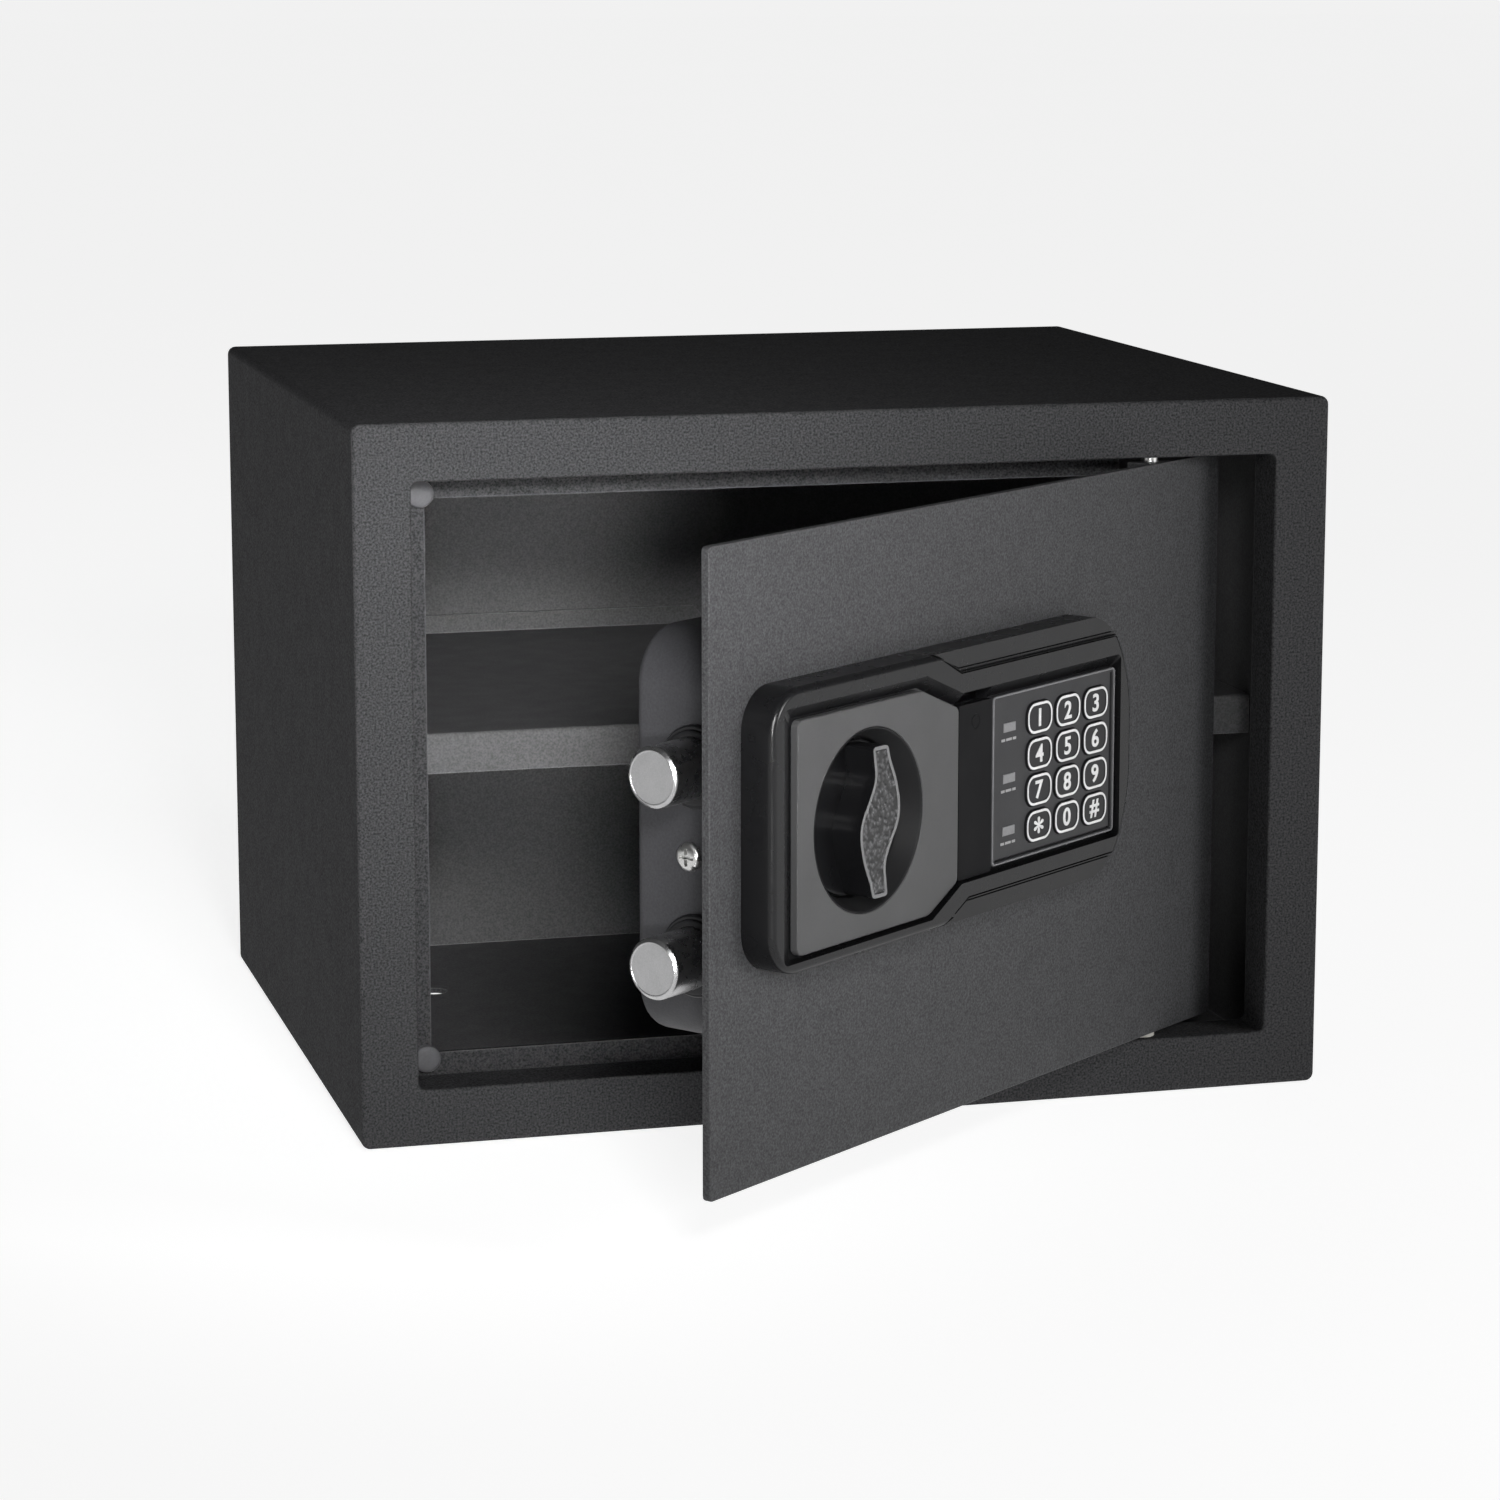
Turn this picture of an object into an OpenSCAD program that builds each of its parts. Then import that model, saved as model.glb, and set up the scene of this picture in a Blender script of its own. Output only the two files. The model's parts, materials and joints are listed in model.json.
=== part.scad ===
// Small steel safe with a keypad lock, door standing ajar. Millimetres, +Z up.
// Origin: middle of the underside of the body. The door side faces -Y.

/* [Body] */
// outside width of the body
body_w = 350; // [250:1:500]
// outside depth of the body
body_d = 285; // [200:1:450]
// outside height of the body
body_h = 250; // [180:1:450]
// sheet thickness of the body
wall = 2; // [1.5:0.5:4]
// outside bend radius of the wrapped sheet
bend_r = 3; // [2.5:0.5:6]
// width of the front strip round the door opening
strip_w = 20; // [14:0.5:30]
// corner radius of the door opening
opening_r = 2.5; // [1:0.5:6]
// depth of the channel folded in behind the front strip
channel_d = 19; // [14:0.5:30]
// width of the stop lip that shows inside the opening
lip_w = 8; // [5:0.5:12]
// where the stop strips end on the hinge side
lip_end_x = 103; // [90:0.5:106]
// radius of the grey buffers
buffer_r = 4.8; // [3:0.1:6]
// height of the buffers on the stop
buffer_h = 2.5; // [1.5:0.1:4]

/* [Anchor holes] */
// radius of the anchor holes
anchor_r = 5; // [3:0.5:7]
// hole spacing across, floor and back
anchor_dx = 220; // [100:5:280]
// hole spacing front to back in the floor
anchor_dy = 130; // [60:5:200]
// hole spacing up and down in the back
anchor_dz = 60; // [40:5:160]
// height of the middle of the back holes
anchor_z = 185; // [160:1:200]

/* [Shelf] */
// height of the shelf's upper face
shelf_top = 132; // [120:0.5:150]
// distance of the shelf's front edge from the front of the safe
shelf_front = 64; // [62:1:120]
// sheet thickness of the shelf
shelf_t = 1.5; // [1:0.5:3]
// height of the folded front edge
shelf_fold = 14.5; // [8:0.5:25]
// height of the upstand along the back edge
upstand_h = 7.5; // [4:0.5:15]
// where the left upstand ends
upstand_end = 14; // [-40:1:60]

/* [Door] */
// how far the door stands open
door_ajar = 38; // [0:1:60]
// thickness of the door plate
door_t = 3; // [2:0.5:3]
// gap at the door's free edge
gap_free = 1.5; // [1:0.1:3]
// gap at the hinge side
gap_hinge = 8; // [4:0.5:12]
// gap above and below the door
gap_z = 2; // [1.5:0.1:4]
// how far the closed door sits behind the front face
door_set = 1; // [0:0.5:1]
// distance of the hinge pins from the middle of the body
pin_x = 110.5; // [95:0.5:125]
// distance of the hinge pins behind the front face
pin_y = 7.5; // [7.5:0.5:8.5]
// radius of the hinge pins
pin_r = 3; // [2:0.1:3.4]

/* [Bolts] */
// radius of the locking bolts
bolt_r = 10; // [6:0.5:12]
// height of the upper bolt above the door's lower edge
bolt_hi = 129; // [120:0.5:140]
// height of the lower bolt above the door's lower edge
bolt_lo = 67.5; // [60:0.5:80]
// distance of the bolt axes behind the door's front face
bolt_d = 32; // [31:0.5:36]
// setback of the drawn bolt ends from the door's free edge
bolt_tip = 12; // [10:0.5:16]
// travel of the bolts
bolt_stroke = 20; // [10:0.5:20]

/* [Lock cover] */
// setback of the cover from the door's free edge
cover_u = 36; // [34:0.5:40]
// width of the cover
cover_w = 190; // [150:1:195]
// height of the cover's lower edge above the door's lower edge
cover_v = 37; // [30:1:45]
// height of the cover
cover_h = 134; // [120:1:150]
// corner radius of the cover
cover_r = 18; // [10:1:25]
// distance of the cover's back face behind the door's front face
cover_d = 58; // [56:0.5:60]
// wall thickness of the cover
cover_t = 2; // [1.5:0.5:3]

/* [Lock housing] */
// how far the rim of the housing stands out from the door
rim_w = 12.5; // [10:0.5:16]
// how far the stepped ends stand out from the door
step_w = 11; // [9:0.5:14]
// level of the well floor above the door
floor_w = 8; // [7:0.5:9]
// height of the middle of the housing above the door's lower edge
lock_v = 114.5; // [100:0.5:130]
// distance of the knob axis from the door's free edge
knob_u = 69.4; // [60:0.1:80]
// height of the knob axis above the door's lower edge
knob_v = 111.4; // [100:0.1:125]
// radius of the round knob recess
recess_r = 30; // [24:0.5:31]
// radius of the turning dial
dial_r = 25.2; // [18:0.1:26]
// how far the grip stands out from the door
grip_w = 15.2; // [12:0.1:20]
// radius of the knob spindle
spindle_r = 4; // [3:0.1:6]

/* [Keypad] */
// distance of the first key column from the door's free edge
key_u = 167.9; // [160:0.1:172]
// height of the lowest key row above the door's lower edge
key_v = 93.4; // [90:0.1:98]
// spacing of the key columns
key_du = 17.4; // [16:0.1:18]
// spacing of the key rows
key_dv = 12.3; // [11:0.1:14]
// width of a key
key_w = 15.2; // [10:0.1:15.5]
// height of a key
key_h = 10.7; // [8:0.1:11]
// corner radius of a key
key_r = 4.4; // [2:0.1:5]
// clearance round each key
key_gap = 0.35; // [0.3:0.05:0.5]

/* [Hidden] */
$fn = 64;
front = -body_d / 2;
in_w = body_w / 2 - wall;
open_x = body_w / 2 - strip_w;
open_lo = strip_w;
open_hi = body_h - strip_w;
door_x = -open_x + gap_free;
door_w = 2 * open_x - gap_free - gap_hinge;
door_z = open_lo + gap_z;
door_h = open_hi - open_lo - 2 * gap_z;
pin_u = pin_x - door_x;
run = 0.08;
crank_r = bolt_stroke / sqrt(2);
pin_at = knob_u + crank_r * cos(45);
plate_lo = bolt_d - 1;
plate_hi = bolt_d + 1;
bar_u = cover_u + 24;
slide_end = bar_u + 59;
stud_u = bar_u + 32;
plunger_top = 140;
override_u = 129.8;
override_v = 110;
barrel_r = 8;
plug_r = 6;
screw_d = 35.4;
screw_v = 99.3;
screw_r = 2;
screw_head_r = 4.8;
lens_at = [94.4, 112.2, 129.5];
lens_u = 146.8;
stud_at = [72, 100];
box_u = 148;
box_v = 50;
box_w = 66;
box_h = 58;
box_d = 40;
chamfer = 4;
block_h = 20;
bearing_h = 3;
pin_out = gap_z + wall + bearing_h;
bracket_h = 14;
shelf_low = shelf_top - shelf_t;
cover_end = cover_u + cover_w;
cover_top = cover_v + cover_h;
tray_d = cover_d - cover_t;
stem_r = 1.2;
buffer_in = 1.8;

// --- helpers ---
module rounded(x0, y0, x1, y1, r) {
  translate([x0 + r, y0]) square([x1 - x0 - 2 * r, y1 - y0]);
  translate([x0, y0 + r]) square([x1 - x0, y1 - y0 - 2 * r]);
  for (x = [x0 + r, x1 - r]) for (y = [y0 + r, y1 - r]) translate([x, y]) circle(r = r);
}
module slab(a, b) translate([0, b, 0]) rotate([90, 0, 0]) linear_extrude(height = b - a) children();
module block(x0, y0, z0, x1, y1, z1) translate([x0, y0, z0]) cube([x1 - x0, y1 - y0, z1 - z0]);
module rod_y(x, z, a, b, r) translate([x, b, z]) rotate([90, 0, 0]) cylinder(h = b - a, r = r);
module rod_x(y, z, a, b, r) translate([a, y, z]) rotate([0, 90, 0]) cylinder(h = b - a, r = r);
module in_front() translate([0, front, 0]) children();
module in_door() {
  translate([pin_x, front + pin_y, 0]) rotate([0, 0, door_ajar])
    translate([door_x - pin_x, door_set - pin_y, door_z]) children();
}

// --- body ---
module body_shell() color([0.30, 0.30, 0.31]) in_front() difference() {
  union() {
    difference() {
      slab(0, body_d) rounded(-body_w / 2, 0, body_w / 2, body_h, bend_r);
      slab(wall, body_d + 1) rounded(-in_w, wall, in_w, body_h - wall, bend_r - wall);
    }
    slab(wall, channel_d)
      rounded(-open_x - wall, open_lo - wall, open_x + wall, open_hi + wall, opening_r + wall);
  }
  slab(-1, channel_d + 1) rounded(-open_x, open_lo, open_x, open_hi, opening_r);
  translate([pin_x, pin_y, 0]) difference() {
    translate([0, 0, 10]) cylinder(h = body_h - 20, r = pin_r + run);
    translate([0, 0, 40]) cylinder(h = body_h - 80, r = pin_r + 1);
  }
  for (x = [-anchor_dx / 2, anchor_dx / 2]) for (y = [-anchor_dy / 2, anchor_dy / 2])
    translate([x, y + body_d / 2, -1]) cylinder(h = wall + 2, r = anchor_r);
}
module back_panel() color([0.31, 0.31, 0.32]) in_front() difference() {
  slab(body_d - wall, body_d) rounded(-in_w, wall, in_w, body_h - wall, bend_r - wall);
  for (x = [-anchor_dx / 2, anchor_dx / 2]) for (z = [-anchor_dz / 2, anchor_dz / 2])
    rod_y(x, anchor_z + z, body_d - wall - 1, body_d + 1, anchor_r);
}
module door_stop() color([0.32, 0.32, 0.33]) in_front() difference() {
  slab(channel_d, channel_d + wall) difference() {
    rounded(-open_x - wall, open_lo - wall, open_x, open_hi + wall, opening_r + wall);
    translate([-open_x + lip_w, open_lo + lip_w]) square([2 * open_x, open_hi - open_lo - 2 * lip_w]);
    translate([lip_end_x, 0]) square([open_x, body_h]);
  }
  for (z = [open_lo + lip_w - buffer_in, open_hi - lip_w + buffer_in])
    rod_y(-open_x + lip_w - buffer_in, z, channel_d - 1, channel_d + wall + 1, stem_r);
}
module stop_buffers() color([0.55, 0.56, 0.57]) in_front()
  for (z = [open_lo + lip_w - buffer_in, open_hi - lip_w + buffer_in]) {
    rod_y(-open_x + lip_w - buffer_in, z, channel_d - buffer_h, channel_d, buffer_r);
    rod_y(-open_x + lip_w - buffer_in, z, channel_d, channel_d + wall, stem_r);
  }
module shelf() color([0.36, 0.36, 0.37]) in_front() {
  block(-in_w + 0.5, shelf_front, shelf_low, in_w - 0.5, body_d - wall - 0.5, shelf_top);
  block(-in_w + 0.5, shelf_front, shelf_top - shelf_fold,
    in_w - 0.5, shelf_front + shelf_t, shelf_low);
  slab(body_d - wall - 0.5 - shelf_t, body_d - wall - 0.5) {
    polygon([[-in_w + 4, shelf_top], [upstand_end + upstand_h, shelf_top],
      [upstand_end, shelf_top + upstand_h], [-in_w + 4, shelf_top + upstand_h]]);
    polygon([[in_w - 4, shelf_top], [upstand_end + 60 - upstand_h, shelf_top],
      [upstand_end + 60, shelf_top + upstand_h], [in_w - 4, shelf_top + upstand_h]]);
  }
}
module shelf_brackets() color([0.33, 0.33, 0.34]) in_front() for (s = [-1, 1]) scale([s, 1, 1]) {
  block(in_w - 12, shelf_front + 12, shelf_low - 1.5, in_w, body_d - 30, shelf_low);
  block(in_w - 1.5, shelf_front + 12, shelf_low - bracket_h, in_w, body_d - 30, shelf_low - 1.5);
}
module hinge_bearings() color([0.55, 0.53, 0.48]) in_front()
  for (z = [open_lo - wall - bearing_h, open_hi + wall]) difference() {
    block(pin_x - 10, wall, z, pin_x + 10, channel_d - 2, z + bearing_h);
    translate([pin_x, pin_y, z - 1]) cylinder(h = 5, r = pin_r + run);
  }
module thrust_washer() color([0.85, 0.84, 0.80]) in_front() difference() {
  translate([pin_x, pin_y, open_lo]) cylinder(h = gap_z - 0.1, r = 4.8);
  translate([pin_x, pin_y, open_lo - 1]) cylinder(h = gap_z + 1, r = pin_r + run);
}

// --- door ---
module door_plate() color([0.33, 0.34, 0.36]) in_door() difference() {
  slab(0, door_t) rounded(0, 0, door_w, door_h, 1.5);
  rod_y(knob_u, knob_v, -1, door_t + 1, spindle_r + run);
  rod_y(override_u, override_v, -1, door_t + 1, barrel_r + 0.3);
  block(150, -1, 104, 164, door_t + 1, 112);
}
module hinge_blocks() color([0.34, 0.35, 0.37]) in_door()
  for (z = [0, door_h - block_h]) difference() {
    block(pin_u - 7.5, door_t, z, pin_u + 7.5, 11, z + block_h);
    translate([pin_u, pin_y - door_set, z - 1]) cylinder(h = block_h + 2, r = pin_r);
  }
module hinge_pins() color([0.78, 0.78, 0.80]) in_door() {
  translate([pin_u, pin_y - door_set, -pin_out]) cylinder(h = block_h + pin_out, r = pin_r);
  translate([pin_u, pin_y - door_set, door_h - block_h]) cylinder(h = block_h + pin_out, r = pin_r);
}
module housing_outline(g) {
  rounded(16 + g, lock_v - 45.5 + g, 218 - g, lock_v + 45.5 - g, 14 - g);
  intersection() {
    translate([146, lock_v]) circle(r = 78 - g);
    translate([190, lock_v - 30]) square([40, 60]);
  }
}
module upper_outline() intersection() {
  housing_outline(0);
  polygon([[0, 60], [0, 170], [103, 170], [103, 160], [119, 152.5], [230, 152.5], [230, 76],
    [124, 76], [109, 69], [109, 60]]);
}
module well_outline() polygon([[21, 76], [21, 150], [25, 154.5], [94, 154.5], [113, 145.5],
  [211.5, 145.5], [216.5, 141], [216.5, 84.5], [214, 82.5], [119, 81.5], [101.5, 72.5], [25, 72.5]]);
module lock_housing() color([0.13, 0.13, 0.14]) in_door() difference() {
  union() {
    slab(-step_w, 0) housing_outline(0);
    slab(-rim_w, -step_w) upper_outline();
  }
  slab(-rim_w - 1, -floor_w) well_outline();
  slab(-floor_w + 2.5, 1) housing_outline(2.5);
  rod_y(knob_u, knob_v, -rim_w, 1, recess_r);
  rod_y(override_u, override_v, -rim_w, 1, barrel_r + 0.3);
  slab(-rim_w, 1) translate([122, 141.5]) square([15, 3.5]);
  slab(-rim_w, 1) translate([157, 84.5]) square([56, 55]);
  for (v = lens_at) slab(-rim_w, 1) translate([lens_u - 0.3, v - 1.8]) square([7.6, 3.6]);
}
module knob_plate() color([0.42, 0.42, 0.43]) in_door() difference() {
  slab(-11, -floor_w) polygon([[30, 78], [34, 74], [103, 74], [119.5, 82.5], [119.5, 140.5],
    [98.5, 149], [34, 149], [30, 145]]);
  rod_y(knob_u, knob_v, -rim_w, 0, recess_r + run);
}
module dial_bezel() color([0.22, 0.22, 0.23]) in_door() translate([knob_u, 0, knob_v]) rotate([90, 0, 0])
  difference() {
    cylinder(h = 10.7, r = recess_r);
    translate([0, 0, -1]) cylinder(h = 5, r = dial_r + 0.8);
    translate([0, 0, 4]) cylinder(h = 6.71, r1 = dial_r + 0.8, r2 = recess_r - 0.5);
  }
module key_shape(g) rounded(-key_w / 2 - g, -key_h / 2 - g, key_w / 2 + g, key_h / 2 + g, key_r + g);
module keypad_panel() color([0.17, 0.17, 0.18]) in_door() difference() {
  slab(-10.5, -floor_w) rounded(140, 83.5, 215.5, 141, 1.5);
  for (c = [0:2]) for (r = [0:3]) slab(-12, 0) translate([key_u + c * key_du, key_v + r * key_dv])
    key_shape(key_gap);
  for (v = lens_at) slab(-12, 0) translate([lens_u, v - 1.5]) square([7, 3]);
}
module indicator_lenses() color([0.75, 0.76, 0.76]) in_door()
  for (v = lens_at) block(lens_u, -10.6, v - 1.5, lens_u + 7, -6, v + 1.5);
module key_board() color([0.12, 0.35, 0.20]) in_door() {
  block(142, -4, 80, 213, -2.4, 146);
  for (u = [146, 209]) for (v = [83, 143]) rod_y(u, v, -2.4, 0, 2);
  for (c = [0:2]) for (r = [0:3])
    translate([key_u + c * key_du, 0, key_v + r * key_dv]) block(-3, -4.7, -3, 3, -4, 3);
}
module lock_cover() color([0.30, 0.30, 0.31]) in_door() difference() {
  intersection() {
    slab(door_t, cover_d) rounded(cover_u, cover_v, cover_end, cover_top, cover_r);
    translate([0, 0, cover_v]) linear_extrude(height = cover_h)
      polygon([[cover_u, 0], [cover_u, cover_d - chamfer], [cover_u + chamfer, cover_d],
        [cover_end - chamfer, cover_d], [cover_end, cover_d - chamfer], [cover_end, 0]]);
    translate([cover_u, 0, 0]) rotate([90, 0, 90]) linear_extrude(height = cover_w)
      polygon([[0, cover_v], [cover_d - chamfer, cover_v], [cover_d, cover_v + chamfer],
        [cover_d, cover_top - chamfer], [cover_d - chamfer, cover_top], [0, cover_top]]);
  }
  slab(0, tray_d - 2) rounded(cover_u + cover_t, cover_v + cover_t, cover_end - cover_t,
    cover_top - cover_t, cover_r - cover_t);
  slab(box_d, tray_d) rounded(cover_u + cover_t + 2, cover_v + cover_t + 2,
    cover_end - cover_t - 2, cover_top - cover_t - 2, cover_r - cover_t - 2);
  for (v = [bolt_lo, bolt_hi]) rod_x(bolt_d, v, cover_u - 1, cover_u + 5, bolt_r + 1.3);
  rod_x(screw_d, screw_v, cover_u - 1, cover_end + 1, screw_r + 0.2);
  slab(box_d, cover_d + 1) translate([box_u, box_v]) square([box_w, box_h]);
}
module cover_brackets() color([0.62, 0.62, 0.60]) in_door() {
  for (side = [[cover_u + cover_t, 1], [cover_end - cover_t, -1]]) difference() {
    translate([side[0], 0, 0]) scale([side[1], 1, 1]) {
      block(0, door_t, 92, 1.5, 42, 107);
      block(1.5, door_t, 92, 12, door_t + 1.5, 107);
    }
    rod_x(screw_d, screw_v, side[0] - 3, side[0] + 3, screw_r);
  }
}
module cover_screws() color([0.80, 0.80, 0.81]) in_door() difference() {
  union() {
    rod_x(screw_d, screw_v, cover_u - 2.2, cover_u, screw_head_r);
    rod_x(screw_d, screw_v, cover_u, cover_u + 3.4, screw_r);
    rod_x(screw_d, screw_v, cover_end, cover_end + 2.2, screw_head_r);
    rod_x(screw_d, screw_v, cover_end - 3.4, cover_end, screw_r);
  }
  for (u = [cover_u - 2.5, cover_end + 1.1]) {
    block(u, screw_d - 3, screw_v - 0.6, u + 1.4, screw_d + 3, screw_v + 0.6);
    block(u, screw_d - 0.6, screw_v - 3, u + 1.4, screw_d + 0.6, screw_v + 3);
  }
}
module bolt_collars() color([0.10, 0.10, 0.10]) in_door() for (v = [bolt_lo, bolt_hi]) difference() {
  union() {
    rod_x(bolt_d, v, cover_u - 2.5, cover_u, bolt_r + 3.5);
    rod_x(bolt_d, v, cover_u - 3.7, cover_u - 2.5, bolt_r + 2.2);
    rod_x(bolt_d, v, cover_u, cover_u + 3.8, bolt_r + 1.3);
  }
  rod_x(bolt_d, v, cover_u - 5, cover_u + 5, bolt_r + run);
}
module guide_studs() color([0.70, 0.70, 0.68]) in_door() for (v = stud_at) {
  rod_y(stud_u, v, door_t, plate_hi + 0.5, 3);
  rod_y(stud_u, v, plate_hi + 0.5, plate_hi + 2, 5);
  rod_y(stud_u, v, door_t, plate_lo - 0.5, 4.5);
}
module override_body() color([0.72, 0.71, 0.68]) in_door() difference() {
  union() {
    rod_y(override_u, override_v, -7, 25, barrel_r);
    rod_y(override_u, override_v, door_t, door_t + 3, barrel_r + 4);
  }
  rod_y(override_u, override_v, -8, 26, plug_r + run);
}
module battery_tray() color([0.16, 0.16, 0.17]) in_door() difference() {
  union() {
    block(box_u, box_d, box_v, box_u + box_w, tray_d, box_v + box_h);
    block(box_u - 2, tray_d - 1.5, box_v - 2, box_u + box_w + 2, tray_d, box_v + box_h + 2);
  }
  block(box_u + 1.5, box_d + 1.5, box_v + 1.5, box_u + box_w - 1.5, cover_d, box_v + box_h - 1.5);
}
module batteries() color([0.20, 0.34, 0.42]) in_door() for (i = [0:3])
  translate([box_u + 9.4 + i * 15.8, box_d + 8.7, box_v + 2.5]) cylinder(h = 53, r = 7.1);
module solenoid_body() color([0.45, 0.38, 0.22]) in_door() difference() {
  block(stud_u - 12, 24, 146, stud_u + 12, 40, 166);
  translate([stud_u, bolt_d, 145]) cylinder(h = 16, r = 3 + run);
}
module solenoid_plunger() color([0.78, 0.78, 0.80]) in_door()
  translate([stud_u, bolt_d, plunger_top + 0.1]) cylinder(h = 18, r = 3);

// --- knob and bolts ---
module knob_dial() color([0.11, 0.11, 0.12]) in_door() rod_y(knob_u, knob_v, -4, -1.5, dial_r);
module knob_grip() color([0.30, 0.30, 0.31]) in_door() translate([knob_u, 0, knob_v]) slab(-grip_w, -4)
  polygon([[-4.2, 24.6], [4.2, 24.2], [5.2, 20], [9, 12.5], [11, 5], [10.6, -1], [5.6, -8.5], [2.6, -14],
    [4.2, -24.6], [-4.2, -24.2], [-5.2, -20], [-9, -12.5], [-11, -5], [-10.6, 1], [-5.6, 8.5], [-2.6, 14]]);
module knob_spindle() color([0.75, 0.75, 0.77]) in_door() {
  rod_y(knob_u, knob_v, -1.5, bolt_d - 6, spindle_r);
  slab(bolt_d - 6, bolt_d - 3) {
    translate([knob_u, knob_v]) circle(r = 7);
    translate([pin_at, knob_v + crank_r * sin(45)]) circle(r = 4.5);
    translate([knob_u, knob_v]) rotate(45) translate([0, -4.2]) square([crank_r, 8.4]);
  }
  rod_y(pin_at, knob_v + crank_r * sin(45), bolt_d - 3, bolt_d + 3, 2.5);
}
module bolt_carriage() color([0.66, 0.66, 0.64]) in_door() {
  block(bar_u, bolt_d - 2, bolt_lo - 7, bar_u + 4, bolt_d + 6, bolt_hi + 7);
  difference() {
    slab(plate_lo, plate_hi) polygon([[bar_u + 4, 62], [slide_end, 62], [slide_end, plunger_top - 5.2],
      [stud_u + 23, plunger_top - 5.2], [stud_u - 3, plunger_top], [bar_u + 4, plunger_top]]);
    slab(plate_lo - 1, plate_hi + 1) translate([pin_at - 3.1, knob_v + 6.6])
      square([6.2, 11]);
    for (v = stud_at) {
      rod_y(stud_u, v, plate_lo - 1, plate_hi + 1, 3 + run);
      rod_y(stud_u + bolt_stroke, v, plate_lo - 1, plate_hi + 1, 3 + run);
      block(stud_u, plate_lo - 1, v - 3 - run, stud_u + bolt_stroke, plate_hi + 1, v + 3 + run);
    }
  }
}
module locking_bolt(v) {
  rod_x(bolt_d, v, bolt_tip + 1, bar_u, bolt_r);
  translate([bolt_tip, bolt_d, v]) rotate([0, 90, 0]) cylinder(h = 1, r1 = bolt_r - 1, r2 = bolt_r);
}
module bolt_upper() color([0.74, 0.74, 0.74]) in_door() locking_bolt(bolt_hi);
module bolt_lower() color([0.74, 0.74, 0.74]) in_door() locking_bolt(bolt_lo);

// --- small moving parts ---
module key_cover() color([0.15, 0.15, 0.16]) in_door() {
  slab(-10.8, -floor_w - 0.05) rounded(120.1, 82.3, 139.4, 141, 0.8);
}
module override_plug() color([0.80, 0.78, 0.72]) in_door() {
  difference() {
    rod_y(override_u, override_v, -7, 27, plug_r);
    block(override_u - 0.8, -8, override_v - 4, override_u + 0.8, 12, override_v + 3.5);
  }
  block(override_u - 3, 27, override_v - 12, override_u + 3, 29, override_v + 5);
}
module battery_lid() color([0.18, 0.18, 0.19]) in_door() {
  slab(tray_d + 0.1, cover_d)
    translate([box_u + 0.3, box_v + 0.3]) square([box_w - 0.6, box_h - 0.6]);
}
module pad_key(c, r) translate([key_u + c * key_du, 0, key_v + r * key_dv]) {
  slab(-11.3, -7.9) key_shape(0);
  slab(-7.9, -7.2) rounded(-8.4, -5.8, 8.4, 5.8, 4.4);
  rod_y(0, 0, -7.2, -5.8, 1.6);
}
module key_1() color([0.14, 0.14, 0.15]) in_door() pad_key(0, 3);
module key_2() color([0.14, 0.14, 0.15]) in_door() pad_key(1, 3);
module key_3() color([0.14, 0.14, 0.15]) in_door() pad_key(2, 3);
module key_4() color([0.14, 0.14, 0.15]) in_door() pad_key(0, 2);
module key_5() color([0.14, 0.14, 0.15]) in_door() pad_key(1, 2);
module key_6() color([0.14, 0.14, 0.15]) in_door() pad_key(2, 2);
module key_7() color([0.14, 0.14, 0.15]) in_door() pad_key(0, 1);
module key_8() color([0.14, 0.14, 0.15]) in_door() pad_key(1, 1);
module key_9() color([0.14, 0.14, 0.15]) in_door() pad_key(2, 1);
module key_star() color([0.14, 0.14, 0.15]) in_door() pad_key(0, 0);
module key_0() color([0.14, 0.14, 0.15]) in_door() pad_key(1, 0);
module key_hash() color([0.14, 0.14, 0.15]) in_door() pad_key(2, 0);

body_shell();
back_panel();
door_stop();
stop_buffers();
shelf();
shelf_brackets();
hinge_bearings();
thrust_washer();
door_plate();
hinge_blocks();
hinge_pins();
lock_housing();
knob_plate();
dial_bezel();
keypad_panel();
indicator_lenses();
key_board();
lock_cover();
cover_brackets();
cover_screws();
bolt_collars();
guide_studs();
override_body();
battery_tray();
batteries();
solenoid_body();
knob_dial();
knob_grip();
knob_spindle();
bolt_carriage();
bolt_upper();
bolt_lower();
solenoid_plunger();
key_cover();
override_plug();
battery_lid();
key_1();
key_2();
key_3();
key_4();
key_5();
key_6();
key_7();
key_8();
key_9();
key_star();
key_0();
key_hash();
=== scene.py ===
"""A small steel safe with a keypad lock, its door standing ajar: pieces, finishes, light and camera."""
import json
import math

import bmesh
import bpy
from mathutils import Matrix, Vector


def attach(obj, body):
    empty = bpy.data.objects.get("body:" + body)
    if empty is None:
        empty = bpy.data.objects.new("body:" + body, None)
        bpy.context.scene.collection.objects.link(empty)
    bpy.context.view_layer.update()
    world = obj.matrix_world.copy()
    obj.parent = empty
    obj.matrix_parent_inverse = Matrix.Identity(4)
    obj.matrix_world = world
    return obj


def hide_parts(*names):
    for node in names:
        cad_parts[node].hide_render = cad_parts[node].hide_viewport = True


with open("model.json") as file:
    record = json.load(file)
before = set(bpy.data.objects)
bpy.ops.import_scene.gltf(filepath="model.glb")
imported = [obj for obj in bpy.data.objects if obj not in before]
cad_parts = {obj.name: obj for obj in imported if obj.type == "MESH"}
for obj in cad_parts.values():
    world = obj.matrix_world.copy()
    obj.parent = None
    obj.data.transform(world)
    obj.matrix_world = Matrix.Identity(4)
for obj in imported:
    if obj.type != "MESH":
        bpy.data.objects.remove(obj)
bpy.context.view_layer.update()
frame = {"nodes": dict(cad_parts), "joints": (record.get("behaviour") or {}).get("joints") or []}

MM = 0.001
FRONT = -142.5
BACK = 142.5
KNOB = (69.4, 111.4)
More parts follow.
